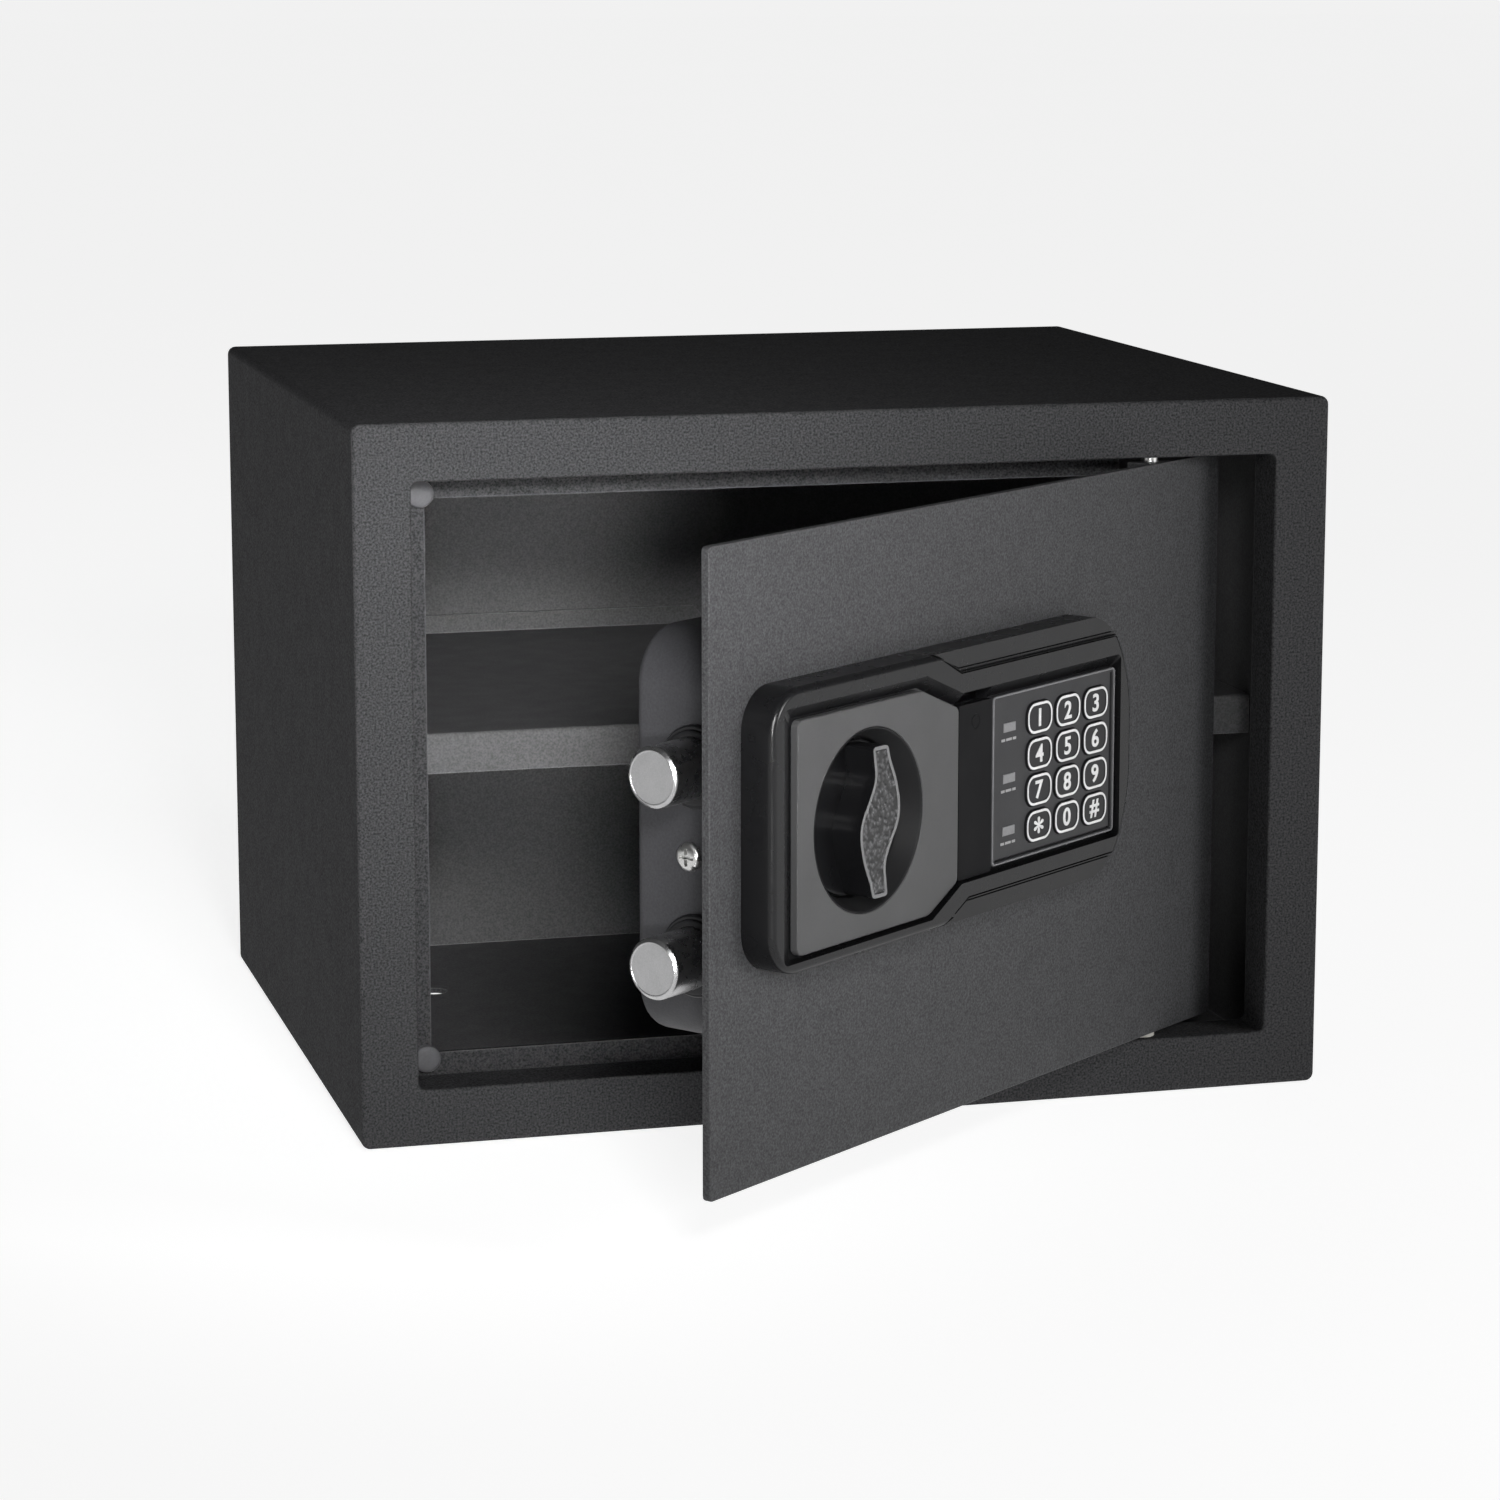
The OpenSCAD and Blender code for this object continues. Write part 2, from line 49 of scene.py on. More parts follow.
BARREL = (129.8, 110)
BOLT_HEIGHTS = (67.5, 129)
BOLT_DEPTH = 32
SCREW = (35.4, 99.3)
WINDOW_HEIGHTS = (94.4, 112.2, 129.5)
FIRST_KEY = (167.9, 93.4)
KEY_PITCH = (17.4, 12.3)
JOINTS = {joint["name"]: joint for joint in frame["joints"]}
OUT = Vector(JOINTS["knob_turn"]["axis"])
PIN = Vector(JOINTS["door_hinge"]["pos_m"])
AJAR = math.atan2(OUT.x, -OUT.y)
DOOR_CORNER = Vector((-153.5, FRONT + 1, 22)) * MM
PIN_LINE = Vector((PIN.x, PIN.y, 0))
DOOR_PLACE = (Matrix.Translation(PIN_LINE) @ Matrix.Rotation(AJAR, 4, "Z")
              @ Matrix.Translation(DOOR_CORNER - PIN_LINE))


# ---------------------------------------------------------------- hand tools
def deselect():
    if bpy.context.object and bpy.context.object.mode != "OBJECT":
        bpy.ops.object.mode_set(mode="OBJECT")
    bpy.ops.object.select_all(action="DESELECT")


def hold(obj):
    deselect()
    obj.select_set(True)
    bpy.context.view_layer.objects.active = obj


def enter(obj, kind="FACE"):
    hold(obj)
    bpy.ops.object.mode_set(mode="EDIT")
    bpy.ops.mesh.select_mode(type=kind)
    bpy.ops.mesh.select_all(action="DESELECT")


def leave():
    bpy.ops.object.mode_set(mode="OBJECT")


def named(name):
    obj = bpy.context.object
    obj.name = name
    obj.data.name = name
    bpy.ops.object.transform_apply(location=True, rotation=True, scale=True)
    return obj


def door_rod(name, place, near, far, radius, sides):
    """A rod square to the door's plane at (across, up)."""
    return rod(name, (place[0], near, place[1]), (place[0], far, place[1]), radius, sides)


def block(name, low, high):
    """A block between two corners, in millimetres."""
    deselect()
    middle = [(a + b) / 2 * MM for a, b in zip(low, high)]
    bpy.ops.mesh.primitive_cube_add(size=1, location=middle, scale=[(b - a) * MM for a, b in zip(low, high)])
    return named(name)


def rod(name, start, end, radius, sides=64):
    deselect()
    a, b = Vector(start) * MM, Vector(end) * MM
    turn = (b - a).to_track_quat("Z", "Y").to_euler()
    bpy.ops.mesh.primitive_cylinder_add(vertices=sides, radius=radius * MM, depth=(b - a).length,
                                        location=(a + b) / 2, rotation=turn)
    return named(name)


def walked(name, points):
    """Edges walked from point to point by extruding one vertex."""
    deselect()
    bpy.ops.mesh.primitive_plane_add(size=MM, location=Vector(points[0]) * MM)
    obj = named(name)
    enter(obj, "VERT")
    bpy.ops.mesh.select_all(action="SELECT")
    bpy.ops.mesh.merge(type="CENTER")
    for a, b in zip(points, points[1:]):
        step = (Vector(b) - Vector(a)) * MM
        bpy.ops.mesh.extrude_vertices_move(TRANSFORM_OT_translate={"value": step})
    return obj


def plate(name, outline, back, face, rounds=()):
    """A plate in the door's plane from its outline; rounds lists (test on the corner, radius, steps)."""
    obj = walked(name, [(x, back, z) for x, z in outline])
    bpy.ops.mesh.select_all(action="SELECT")
    bpy.ops.mesh.edge_face_add()
    for test, radius, steps in rounds:
        pick("VERT", lambda p, n: test(p.x, p.z))
        bpy.ops.mesh.bevel(offset=radius * MM, segments=steps, affect="VERTICES")
    bpy.ops.mesh.select_mode(type="FACE")
    bpy.ops.mesh.select_all(action="SELECT")
    bpy.ops.mesh.extrude_region_move(TRANSFORM_OT_translate={"value": (0, (face - back) * MM, 0)})
    outwards()
    leave()
    return obj


def outwards():
    bpy.ops.mesh.select_all(action="SELECT")
    bpy.ops.mesh.remove_doubles(threshold=0.00001)
    bpy.ops.mesh.normals_make_consistent(inside=False)


def pick(kind, test):
    """Selects what passes the test on its middle, in millimetres, and its normal or direction."""
    bpy.ops.mesh.select_mode(type=kind)
    bpy.ops.mesh.select_all(action="DESELECT")
    mesh = bmesh.from_edit_mesh(bpy.context.object.data)
    if kind == "VERT":
        for v in mesh.verts:
            v.select_set(bool(test(v.co / MM, v.normal)))
    elif kind == "EDGE":
        for e in mesh.edges:
            a, b = e.verts
            e.select_set(bool(test((a.co + b.co) / 2 / MM, (b.co - a.co).normalized())))
    else:
        for f in mesh.faces:
            f.select_set(bool(test(f.calc_center_median() / MM, f.normal)))
    mesh.select_flush_mode()
    bmesh.update_edit_mesh(bpy.context.object.data)


def round_edges(obj, test, radius, steps=4):
    enter(obj, "EDGE")
    pick("EDGE", test)
    bpy.ops.mesh.bevel(offset=radius * MM, segments=steps, affect="EDGES")
    leave()


def turned(name, profile, origin, axis, steps=72, closed=False):
    """A turned piece: (along, radius) pairs spun about a line through origin."""
    o, along = Vector(origin), Vector(axis)
    points = [o + along * a + Vector((0, 0, r)) for a, r in profile]
    if closed:
        points.append(points[0])
    obj = walked(name, points)
    bpy.ops.mesh.select_all(action="SELECT")
    bpy.ops.mesh.spin(steps=steps, angle=math.tau, center=o * MM, axis=along)
    outwards()
    leave()
    return obj


def apply(obj, modifier):
    hold(obj)
    bpy.ops.object.modifier_apply(modifier=modifier.name)


def combine(obj, tool, operation="DIFFERENCE"):
    modifier = obj.modifiers.new("cut", "BOOLEAN")
    modifier.operation = operation
    modifier.solver = "EXACT"
    modifier.object = tool
    apply(obj, modifier)
    bpy.data.objects.remove(tool)


def tidy_faces(obj):
    enter(obj, "FACE")
    bpy.ops.mesh.select_all(action="SELECT")
    bpy.ops.mesh.remove_doubles(threshold=0.00002)
    bpy.ops.mesh.dissolve_limited(angle_limit=math.radians(0.5))
    leave()


def soften(obj, width, steps=2, angle=32):
    tidy_faces(obj)
    modifier = obj.modifiers.new("edges", "BEVEL")
    modifier.width = width * MM
    modifier.segments = steps
    modifier.limit_method = "ANGLE"
    modifier.angle_limit = math.radians(angle)
    modifier.use_clamp_overlap = True
    apply(obj, modifier)


def copied(obj, name, shift):
    hold(obj)
    bpy.ops.object.duplicate(linked=False)
    new = bpy.context.object
    new.location = Vector(shift) * MM
    return named(name)


def joined(objs):
    hold(objs[0])
    for obj in objs[1:]:
        obj.select_set(True)
    bpy.ops.object.join()
    return bpy.context.object


def finished(obj, body, finishes, nodes=(), on_door=True, smooth=35):
    """Puts a piece in its place, gives it its finish and hangs it on its body."""
    hold(obj)
    if on_door:
        obj.matrix_world = DOOR_PLACE
        bpy.ops.object.transform_apply(location=True, rotation=True, scale=True)
    bpy.ops.object.shade_smooth_by_angle(angle=math.radians(smooth))
    flats = obj.modifiers.new("flats", "WEIGHTED_NORMAL")
    flats.weight = 100
    flats.keep_sharp = True
    apply(obj, flats)
    if finishes:
        obj.data.materials.clear()
        for finish in finishes:
            obj.data.materials.append(finish)
    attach(obj, body)
    if nodes:
        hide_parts(*nodes)
    deselect()
    return obj


# ---------------------------------------------------------------- finishes
class Finish:
    """A node material on Object coordinates, in metres."""

    def __init__(self, name):
        self.made = bpy.data.materials.new(name)
        self.made.use_nodes = True
        self.nodes = self.made.node_tree.nodes
        self.links = self.made.node_tree.links
        self.shader = self.nodes["Principled BSDF"]
        self.place = self.nodes.new("ShaderNodeTexCoord").outputs["Object"]

    def noise(self, size, detail=3.0):
        """Noise whose blobs are about size millimetres."""
        node = self.nodes.new("ShaderNodeTexNoise")
        node.inputs["Scale"].default_value = 1 / (size * MM)
        node.inputs["Detail"].default_value = detail
        self.links.new(self.place, node.inputs["Vector"])
        return node.outputs["Fac"]

    def cells(self, size):
        node = self.nodes.new("ShaderNodeTexVoronoi")
        node.feature = "SMOOTH_F1"
        node.inputs["Scale"].default_value = 1 / (size * MM)
        node.inputs["Smoothness"].default_value = 0.6
        self.links.new(self.place, node.inputs["Vector"])
        return node.outputs["Distance"]

    def ramp(self, value, low, high, from_low=0.3, from_high=0.7):
        node = self.nodes.new("ShaderNodeValToRGB")
        a, b = node.color_ramp.elements
        a.position, b.position = from_low, from_high
        a.color = (*low, 1)
        b.color = (*high, 1)
        self.links.new(value, node.inputs["Fac"])
        return node.outputs["Color"]

    def spread(self, value, low, high):
        node = self.nodes.new("ShaderNodeMapRange")
        node.inputs["From Min"].default_value = 0.3
        node.inputs["From Max"].default_value = 0.7
        node.inputs["To Min"].default_value = low
        node.inputs["To Max"].default_value = high
        self.links.new(value, node.inputs["Value"])
        return node.outputs["Result"]

    def blend(self, share, a, b):
        node = self.nodes.new("ShaderNodeMix")
        node.data_type = "RGBA"
        if isinstance(share, float):
            node.inputs["Factor"].default_value = share
        else:
            self.links.new(share, node.inputs["Factor"])
        self.links.new(a, node.inputs["A"])
        self.links.new(b, node.inputs["B"])
        return node.outputs["Result"]

    def bumps(self, *layers):
        """Bump layers, each (height, strength, depth in millimetres)."""
        normal = None
        for height, strength, depth in layers:
            node = self.nodes.new("ShaderNodeBump")
            node.inputs["Strength"].default_value = strength
            node.inputs["Distance"].default_value = depth * MM
            self.links.new(height, node.inputs["Height"])
            if normal:
                self.links.new(normal, node.inputs["Normal"])
            normal = node.outputs["Normal"]
        self.links.new(normal, self.shader.inputs["Normal"])

    def edges(self, radius):
        """1 along edges and corners, 0 on flats."""
        bevel = self.nodes.new("ShaderNodeBevel")
        bevel.samples = 6
        bevel.inputs["Radius"].default_value = radius * MM
        flat = self.nodes.new("ShaderNodeNewGeometry")
        dot = self.nodes.new("ShaderNodeVectorMath")
        dot.operation = "DOT_PRODUCT"
        self.links.new(bevel.outputs["Normal"], dot.inputs[0])
        self.links.new(flat.outputs["Normal"], dot.inputs[1])
        share = self.nodes.new("ShaderNodeMapRange")
        share.inputs["From Min"].default_value = 0.99
        share.inputs["From Max"].default_value = 0.85
        self.links.new(dot.outputs["Value"], share.inputs["Value"])
        return share.outputs["Result"]

    def colour(self, socket):
        self.links.new(socket, self.shader.inputs["Base Color"])

    def roughness(self, socket):
        self.links.new(socket, self.shader.inputs["Roughness"])

    def set(self, **values):
        for key, value in values.items():
            self.shader.inputs[key.replace("_", " ").title().replace("Ior", "IOR")].default_value = value


def times(colour, share):
    return tuple(c * share for c in colour)


def powder_coat(name, colour, speckle=0.25, grain=0.75, rough=(0.5, 0.58), edge_highlight=0.0, shine=0.2):
    """Baked powder coat: fine orange peel, faint speckle, and a painted highlight that makes edges and
    corners lighter.
    """
    f = Finish(name)
    fine = f.noise(grain, 2)
    spots = f.ramp(fine, times(colour, 1 - speckle), times(colour, 1 + speckle))
    wide = f.ramp(f.noise(90, 2), times(colour, 0.97), times(colour, 1.03))
    paint = f.blend(0.3, spots, wide)
    # Painted highlight: edges and corners are mixed towards a colour 1.7 to 3.2 times lighter than the paint.
    if edge_highlight:
        pale = f.ramp(f.noise(4, 4), times(colour, 1.7), times(colour, 3.2))
        paint = f.blend(f.edges(edge_highlight), paint, pale)
    f.colour(paint)
    f.roughness(f.spread(f.noise(9, 3), *rough))
    f.bumps((f.noise(1.6, 2), 0.08, 0.06), (f.noise(grain, 3), 0.7, 0.12))
    f.set(specular_ior_level=shine)
    return f.made


def moulding(name, colour, rough=(0.35, 0.45), grain=0.4, depth=0.02, coat=0.0, shine=0.25):
    """Injection-moulded plastic with a fine spark-eroded grain and faint handling marks."""
    f = Finish(name)
    tint = f.ramp(f.noise(22, 3), times(colour, 0.9), times(colour, 1.12))
    specks = f.ramp(f.noise(grain, 2), times(colour, 0.85), times(colour, 1.18))
    f.colour(f.blend(0.5, tint, specks))
    f.roughness(f.spread(f.noise(14, 4), *rough))
    f.bumps((f.noise(grain, 2), 0.3, depth))
    f.set(specular_ior_level=shine, coat_weight=coat, coat_roughness=0.15)
    return f.made


def pebbled(name, colour, size=1.5):
    """Moulded leather grain of small rounded pebbles, with the pebble tops painted lighter as a painted
    highlight and the hollows between them painted darker as painted shade.
    """
    f = Finish(name)
    cell = f.cells(size)
    # Painted highlight and shade: colour follows the pebble cells, light on the tops and dark in the hollows.
    f.colour(f.ramp(cell, times(colour, 1.6), times(colour, 0.15), 0.12, 0.58))
    f.roughness(f.spread(f.noise(6, 3), 0.42, 0.56))
    inverse = f.ramp(cell, (1, 1, 1), (0, 0, 0), 0.1, 0.65)
    f.bumps((inverse, 1.0, 0.5), (f.noise(0.4, 2), 0.2, 0.03))
    return f.made


def turned_steel(name, colour, rough=(0.24, 0.34)):
    """Bright turned or plated steel with fine tool marks and cloudy patches."""
    f = Finish(name)
    marks = f.noise(0.5, 3)
    f.colour(f.ramp(f.blend(0.4, marks, f.noise(7, 3)), times(colour, 0.86), times(colour, 1.08)))
    f.roughness(f.spread(f.noise(3, 4), *rough))
    f.bumps((marks, 0.25, 0.012))
    f.set(metallic=1.0)
    return f.made


def print_ink(name, colour):
    f = Finish(name)
    f.colour(f.ramp(f.noise(0.8, 4), times(colour, 0.86), colour))
    f.roughness(f.spread(f.noise(2, 3), 0.4, 0.55))
    f.bumps((f.noise(0.3, 2), 0.15, 0.01))
    return f.made


case_paint = powder_coat("case_powder_coat", (0.0385, 0.0385, 0.040), speckle=0.75, rough=(0.62, 0.7),
                         edge_highlight=0.9, shine=0.01)
# Painted light: the inside's paint is the case's own paint made about two and a half times lighter, standing
# in for light reaching the inside.
painted_light_inside_paint = powder_coat("inside_powder_coat_painted_light", (0.090, 0.090, 0.092), speckle=0.35, edge_highlight=0.8, shine=0.1)
door_paint = powder_coat("door_powder_coat", (0.038, 0.0383, 0.040), speckle=0.75, edge_highlight=0.6)
cover_paint = powder_coat("lock_cover_powder_coat", (0.036, 0.036, 0.039), speckle=0.2, edge_highlight=1.2)
lock_black = moulding("lock_moulding_black", (0.0055, 0.0055, 0.006), rough=(0.24, 0.32), shine=0.28)
plate_grey = moulding("knob_plate_satin_grey", (0.052, 0.052, 0.053), rough=(0.42, 0.52), grain=0.3)
ring_grey = moulding("knob_recess_grey", (0.0115, 0.0115, 0.012), rough=(0.4, 0.5), shine=0.1)
dial_black = moulding("dial_gloss_black", (0.004, 0.004, 0.0045), rough=(0.26, 0.34), shine=0.15)
grip_edge = moulding("grip_smooth_edge", (0.13, 0.13, 0.132), rough=(0.28, 0.36))
grip_side = moulding("grip_side_black", (0.005, 0.005, 0.0055), rough=(0.22, 0.3), coat=0.15)
grip_grain = pebbled("grip_pebbled_face", (0.050, 0.050, 0.052))
pad_grey = moulding("keypad_satin_grey", (0.024, 0.024, 0.0255), rough=(0.40, 0.50), grain=0.5, depth=0.04)
key_grey = moulding("key_cap_dark", (0.012, 0.012, 0.013), rough=(0.38, 0.48))
border_grey = moulding("keypad_border_light", (0.13, 0.13, 0.135), rough=(0.35, 0.45))
strip_black = moulding("key_cover_black", (0.0055, 0.0055, 0.006), rough=(0.42, 0.52), shine=0.06)
collar_black = moulding("bolt_collar_black", (0.008, 0.008, 0.009), rough=(0.30, 0.42))
tray_black = moulding("battery_tray_black", (0.014, 0.014, 0.015), grain=0.8, depth=0.05)
buffer_grey = moulding("buffer_soft_grey", (0.075, 0.075, 0.08), rough=(0.5, 0.65), grain=0.8, depth=0.04)
white_ink = print_ink("key_print_white", (0.60, 0.60, 0.60))
pale_ink = print_ink("label_print_grey", (0.26, 0.26, 0.26))
lens_clear = print_ink("window_frosted", (0.17, 0.17, 0.175))
nylon = moulding("washer_nylon", (0.50, 0.49, 0.45), rough=(0.45, 0.6))
cell_wrap = moulding("cell_shrink_wrap", (0.05, 0.12, 0.18), rough=(0.2, 0.3), coat=0.5)
board_green = moulding("board_lacquer_green", (0.008, 0.05, 0.02), rough=(0.25, 0.4), grain=2.0)
coil_wrap = moulding("coil_varnish", (0.22, 0.11, 0.04), rough=(0.3, 0.4), grain=1.0, depth=0.1)
bolt_steel = turned_steel("bolt_turned_steel", (0.50, 0.50, 0.505))
bolt_face = turned_steel("bolt_end_satin", (0.46, 0.46, 0.465), rough=(0.40, 0.50))
zinc = turned_steel("zinc_plate", (0.60, 0.60, 0.59), rough=(0.22, 0.36))
brass = turned_steel("turned_brass", (0.66, 0.50, 0.26))


# ---------------------------------------------------------------- body
def make_case():
    """Wrapped sheet case: bent corners, front strip, channel behind the opening and its holes."""
    case = block("outer_case", (-175, FRONT, 0), (175, BACK, 250))
    round_edges(case, lambda p, n: abs(n.y) > 0.9, 3, 5)
    round_edges(case, lambda p, n: p.y < FRONT + 0.01 and abs(n.y) < 0.1, 1.8, 4)
    hollow = block("hollow", (-173, FRONT + 2, 2), (173, 150, 248))
    round_edges(hollow, lambda p, n: abs(n.y) > 0.9, 1, 2)
    combine(case, hollow)
    channel = plate("channel", [(-157, 18), (157, 18), (157, 232), (-157, 232)], FRONT + 1.5, FRONT + 19,
                    [(lambda x, z: True, 4.5, 4)])
    combine(case, channel, "UNION")
    mouth = plate("mouth", [(-155, 20), (155, 20), (155, 230), (-155, 230)], FRONT - 5, FRONT + 30,
                  [(lambda x, z: True, 2.5, 4)])
    combine(case, mouth)
    for low, high in ((10, 40), (210, 240)):
        at = (PIN.x / MM, PIN.y / MM)
        combine(case, rod("pin_hole", (*at, low), (*at, high), 3.08, 32))
    for x in (-110, 110):
        for y in (-65, 65):
            combine(case, rod("anchor_hole", (x, y, -5), (x, y, 5), 5, 32))
    tidy_faces(case)
    round_edges(case, lambda p, n: (p.y < FRONT + 0.01 and abs(p.x) < 156 and 19 < p.z < 231
                                    and abs(n.y) < 0.1), 0.9, 3)
    case.data.materials.append(case_paint)
    case.data.materials.append(painted_light_inside_paint)
    # Faces inside the case take the lighter inside paint, which is painted light.
    enter(case, "FACE")
    pick("FACE", lambda p, n: abs(p.x) < 173.5 and 1.5 < p.z < 248.5 and p.y > FRONT + 20)
    case.active_material_index = 1
    bpy.ops.object.material_slot_assign()
    leave()
    return finished(case, "body", [], ["body_shell"], on_door=False)


def make_buffers():
    """Soft grey buffers on the stop's two corners."""
    for name, z in (("buffer_low", 26.2), ("buffer_high", 223.8)):
        low = FRONT + 19
        dome = [(low, 0), (low, 4.8), (low - 1.5, 4.8), (low - 2.1, 4.5), (low - 2.4, 3.9), (low - 2.5, 3),
                (low - 2.5, 0)]
        buffer = turned(name, dome, (-148.8, 0, z), (0, 1, 0), 40)
        finished(buffer, "body", [buffer_grey], ["stop_buffers"], on_door=False)


def make_shelf():
    """Shelf sheet with a bent front fold and an upstand with sloped ends along the back."""
    shelf = block("shelf_sheet", (-172.5, FRONT + 64, 130.5), (172.5, FRONT + 282.5, 132))
    fold = block("fold", (-172.5, FRONT + 64, 117.5), (172.5, FRONT + 65.5, 131))
    combine(shelf, fold, "UNION")
    for ends in ([(-169, 131), (21.5, 131), (14, 139.5), (-169, 139.5)],
                 [(169, 131), (169, 139.5), (74, 139.5), (66.5, 131)]):
        combine(shelf, plate("upstand", ends, FRONT + 281, FRONT + 282.5), "UNION")
    tidy_faces(shelf)
    round_edges(shelf, lambda p, n: p.y < FRONT + 64.1 and p.z > 131.9, 1.4, 4)
    soften(shelf, 0.25, 2)
    finished(shelf, "body", [painted_light_inside_paint], ["shelf"], on_door=False)


# ---------------------------------------------------------------- door
def make_door():
    """Door leaf with eased edges and its holes behind the lock."""
    leaf = plate("door_leaf", [(0, 0), (300.5, 0), (300.5, 206), (0, 206)], 3, 0,
                 [(lambda x, z: True, 1.5, 4)])
    combine(leaf, door_rod("spindle_hole", KNOB, -2, 5, 4.08, 32))
    combine(leaf, door_rod("barrel_hole", BARREL, -2, 5, 8.3, 48))
    combine(leaf, block("wire_hole", (150, -2, 104), (164, 5, 112)))
    soften(leaf, 0.6, 3)
    finished(leaf, "door", [door_paint], ["door_plate"])


def make_lock_cover():
    """Drawn steel box over the lock: round corners, filleted back edge, holes for bolts, screws and cells."""
    cover = block("lock_box", (36, 3, 37), (226, 58, 171))
    round_edges(cover, lambda p, n: abs(n.y) > 0.9, 18, 12)
    round_edges(cover, lambda p, n: p.y > 57.9 and abs(n.y) < 0.1, 4, 5)
    enter(cover, "FACE")
    pick("FACE", lambda p, n: n.y < -0.9)
    bpy.ops.mesh.delete(type="FACE")
    leave()
    wall = cover.modifiers.new("wall", "SOLIDIFY")
    wall.thickness = 2 * MM
    wall.offset = -1
    apply(cover, wall)
    for v in BOLT_HEIGHTS:
        combine(cover, rod("bolt_hole", (30, BOLT_DEPTH, v), (45, BOLT_DEPTH, v), 11.35, 48))
    combine(cover, rod("screw_hole", (30, *SCREW), (235, *SCREW), 2.2, 24))
    combine(cover, block("cell_opening", (148, 50, 50), (214, 60, 108)))
    finished(cover, "door", [cover_paint], ["lock_cover"], smooth=40)


def make_bolts():
    """Two turned bolts with a chamfered nose and a satin end face."""
    low, high = BOLT_HEIGHTS
    profile = [(12.15, 0), (12.15, 8.3), (12, 8.5), (12, 8.8), (12.7, 9.7), (13.3, 10), (60, 10), (60, 0)]
    for end, v in (("upper", high), ("lower", low)):
        bolt = turned("turned_bolt_" + end, profile, (0, BOLT_DEPTH, v), (1, 0, 0), 72)
        bolt.data.materials.append(bolt_steel)
        bolt.data.materials.append(bolt_face)
        enter(bolt, "FACE")
        pick("FACE", lambda p, n: n.x < -0.97)
        bolt.active_material_index = 1
        bpy.ops.object.material_slot_assign()
        leave()
        finished(bolt, "bolts", [], ["bolt_" + end])


def make_collars():
    """Stepped plastic collars that line the bolts' holes."""
    ring = [(32.3, 10.1), (32.3, 11.6), (32.6, 12.1), (33.5, 12.2), (33.5, 13.0), (33.9, 13.4), (34.6, 13.5),
            (36, 13.5), (36, 11.3), (39.8, 11.3), (39.8, 10.1)]
    pair = [turned("bolt_sleeves", ring, (0, BOLT_DEPTH, v), (1, 0, 0), 72, closed=True)
            for v in BOLT_HEIGHTS]
    finished(joined(pair), "door", [collar_black], ["bolt_collars"])


def make_cover_screws():
    """Domed cross-head screws, one on each side of the lock cover."""
    pair = []
    for edge, way in ((36, -1), (226, 1)):
        head = [(2.2, 0), (2.2, 2.2), (1.9, 3.5), (1.2, 4.5), (0.4, 4.8), (0, 4.8),
                (0, 2), (-3.4, 2), (-3.4, 0)]
        screw = turned("cover_screw", head, (edge, *SCREW), (way, 0, 0), 48)
        middle = edge + way * 1.6
        for a, b in ((2.9, 0.65), (0.65, 2.9)):
            slot = block("cross", (middle - 1, SCREW[0] - a, SCREW[1] - b),
                         (middle + 1, SCREW[0] + a, SCREW[1] + b))
            combine(screw, slot)
        pair.append(screw)
    finished(joined(pair), "door", [zinc], ["cover_screws"])


# ---------------------------------------------------------------- lock front
def make_lock_moulding():
    """Black housing: rounded skirt, sunk well with sloped walls, stepped bands beside the keypad."""
    outline = [(16, 69), (211, 69), (224, 93), (224, 136), (211, 160), (16, 160)]
    case = plate("lock_moulding", outline, 0, -12.5,
                 [(lambda x, z: x < 20, 14, 10), (lambda x, z: x > 200, 11.5, 6)])
    round_edges(case, lambda p, n: p.y < -12.4 and abs(n.y) < 0.1, 2.2, 5)
    high = [(103, 161), (119, 152.5), (230, 152.5), (230, 170), (103, 170)]
    low = [(109, 68), (124, 76.2), (230, 76.2), (230, 60), (109, 60)]
    combine(case, plate("high_step", high, -11, -14))
    combine(case, plate("low_step", low, -11, -14))
    for inner, outer in ((151.9, 152.4), (153.4, 153.9)):
        groove = [(253.3 - inner, 161), (118.8, inner), (230, inner),
                  (230, outer), (119, outer), (254.3 - inner, 161)]
        combine(case, plate("high_groove", groove, -10.0, -14))
    for inner, outer in ((76.9, 76.4), (75.4, 74.9)):
        groove = [(30 + inner, 68), (124, inner), (230, inner),
                  (230, outer), (124.2, outer), (31 + inner, 68)]
        combine(case, plate("low_groove", groove, -10.0, -14))
    well = plate("well", [(30, 72.8), (103, 72.8), (120, 81.8), (216.4, 81.8), (216.4, 141.2), (119.5, 141.2),
                          (99, 149.6), (30, 149.6)], -8, -13.2, [(lambda x, z: x < 31 or x > 216, 2, 3)])
    enter(well, "VERT")
    pick("VERT", lambda p, n: p.y < -13 and p.z > 139)
    bpy.ops.transform.translate(value=(0, 0, 5.0 * MM))
    pick("VERT", lambda p, n: p.y < -13 and p.x < 33)
    bpy.ops.transform.translate(value=(-9.5 * MM, 0, 0))
    leave()
    combine(case, well)
    combine(case, door_rod("knob_recess", KNOB, -14, 1, 30, 96))
    combine(case, block("cover_slot", (121, -14, 140.6), (137.2, -2, 145.2)))
    combine(case, block("key_pocket", (157, -14, 84.5), (213, 1, 139.5)))
    combine(case, door_rod("barrel_hole", BARREL, -14, 1, 8.3, 48))
    combine(case, block("hollow", (23, -5.5, 75), (39, 1, 154)))
    combine(case, block("hollow", (100, -5.5, 75), (214, 1, 154)))
    for v in WINDOW_HEIGHTS:
        combine(case, block("window_hole", (146.5, -14, v - 1.8), (154.1, 1, v + 1.8)))
    soften(case, 0.35, 2, 28)
    finished(case, "door", [lock_black], ["lock_housing"], smooth=30)


